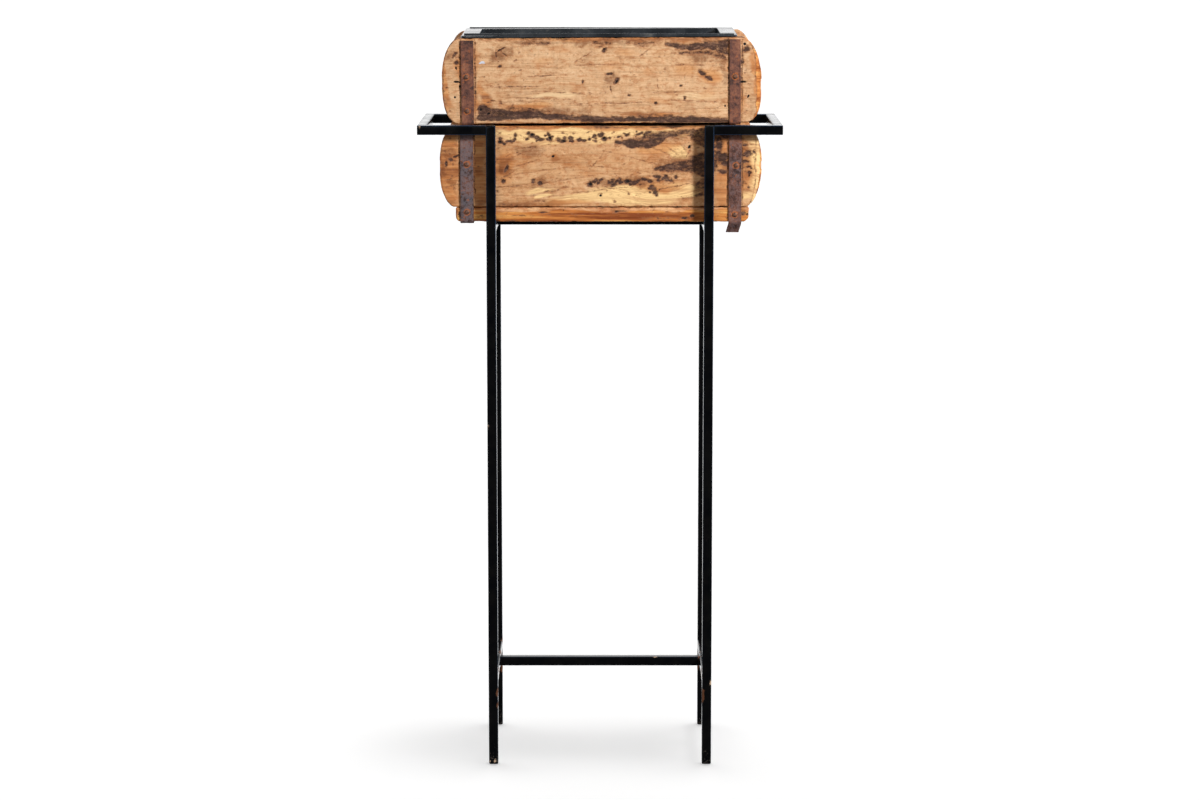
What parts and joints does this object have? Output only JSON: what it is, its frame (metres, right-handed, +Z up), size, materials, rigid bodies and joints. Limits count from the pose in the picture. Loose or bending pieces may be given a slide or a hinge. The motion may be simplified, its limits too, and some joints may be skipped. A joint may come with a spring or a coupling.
{
  "type": "brick mould planter table",
  "caption": "Tall square-bar iron stand holding stacked wooden brick moulds with rusted iron straps and a lift-out black sheet-metal liner.",
  "frame": {"origin": "on the floor, at the middle of the four feet", "axes": "+Z up, +X to the right along the boxes, +Y to the back"},
  "size_m": [0.38, 0.18, 0.7766],
  "materials": {
    "stand_paint": "gloss black, chipped",
    "liner_paint": "gloss black sheet metal",
    "upper_wood": "dry, weathered, with dark stains",
    "lower_wood": "dry, weathered, amber",
    "rusted_iron": "rusted strip",
    "nail_iron": "worn nail heads"
  },
  "bodies": {
    "stand": {"leg_front_left": "stand_paint", "leg_front_right": "stand_paint", "leg_back_left": "stand_paint", "leg_back_right": "stand_paint", "handle_front_bar_left": "stand_paint", "handle_front_bar_right": "stand_paint", "handle_back_bar_left": "stand_paint", "handle_back_bar_right": "stand_paint", "handle_side_bar_left": "stand_paint", "handle_side_bar_right": "stand_paint", "lower_stretcher_left": "stand_paint", "lower_stretcher_right": "stand_paint", "lower_cross_bar": "stand_paint", "box_bearer_left": "stand_paint", "box_bearer_right": "stand_paint", "bearer_cross_bar": "stand_paint"},
    "lower_box": {"lower_front_board": "lower_wood", "lower_back_board": "lower_wood", "lower_end_board_left": "lower_wood", "lower_end_board_right": "lower_wood", "lower_bottom_board": "lower_wood", "lower_strap_left": "rusted_iron", "lower_strap_right_front": "rusted_iron", "lower_strap_right_back": "rusted_iron", "lower_nail_left_upper_front": "nail_iron", "lower_nail_left_upper_back": "nail_iron", "lower_nail_left_lower_front": "nail_iron", "lower_nail_left_lower_back": "nail_iron", "lower_nail_right_upper_front": "nail_iron", "lower_nail_right_upper_back": "nail_iron", "lower_nail_right_lower_front": "nail_iron", "lower_nail_right_lower_back": "nail_iron"},
    "upper_box": {"upper_front_board": "upper_wood", "upper_back_board": "upper_wood", "upper_end_board_left": "upper_wood", "upper_end_board_right": "upper_wood", "upper_strap_left": "rusted_iron", "upper_strap_right": "rusted_iron", "upper_nail_left_middle_front": "nail_iron", "upper_nail_left_middle_back": "nail_iron", "upper_nail_left_low_front": "nail_iron", "upper_nail_left_low_back": "nail_iron", "upper_nail_right_middle_front": "nail_iron", "upper_nail_right_middle_back": "nail_iron"},
    "liner": {"liner_tray": "liner_paint"}
  },
  "joints": [
    {"name": "lower_box_lift", "type": "slide", "parent": "stand", "child": "lower_box", "axis": [0, 0, 1], "range_m": [0, 0.12]},
    {"name": "upper_box_lift", "type": "slide", "parent": "lower_box", "child": "upper_box", "axis": [0, 0, 1], "range_m": [0, 0.1]},
    {"name": "liner_lift", "type": "slide", "parent": "upper_box", "child": "liner", "axis": [0, 0, 1], "range_m": [0, 0.085]}
  ]
}
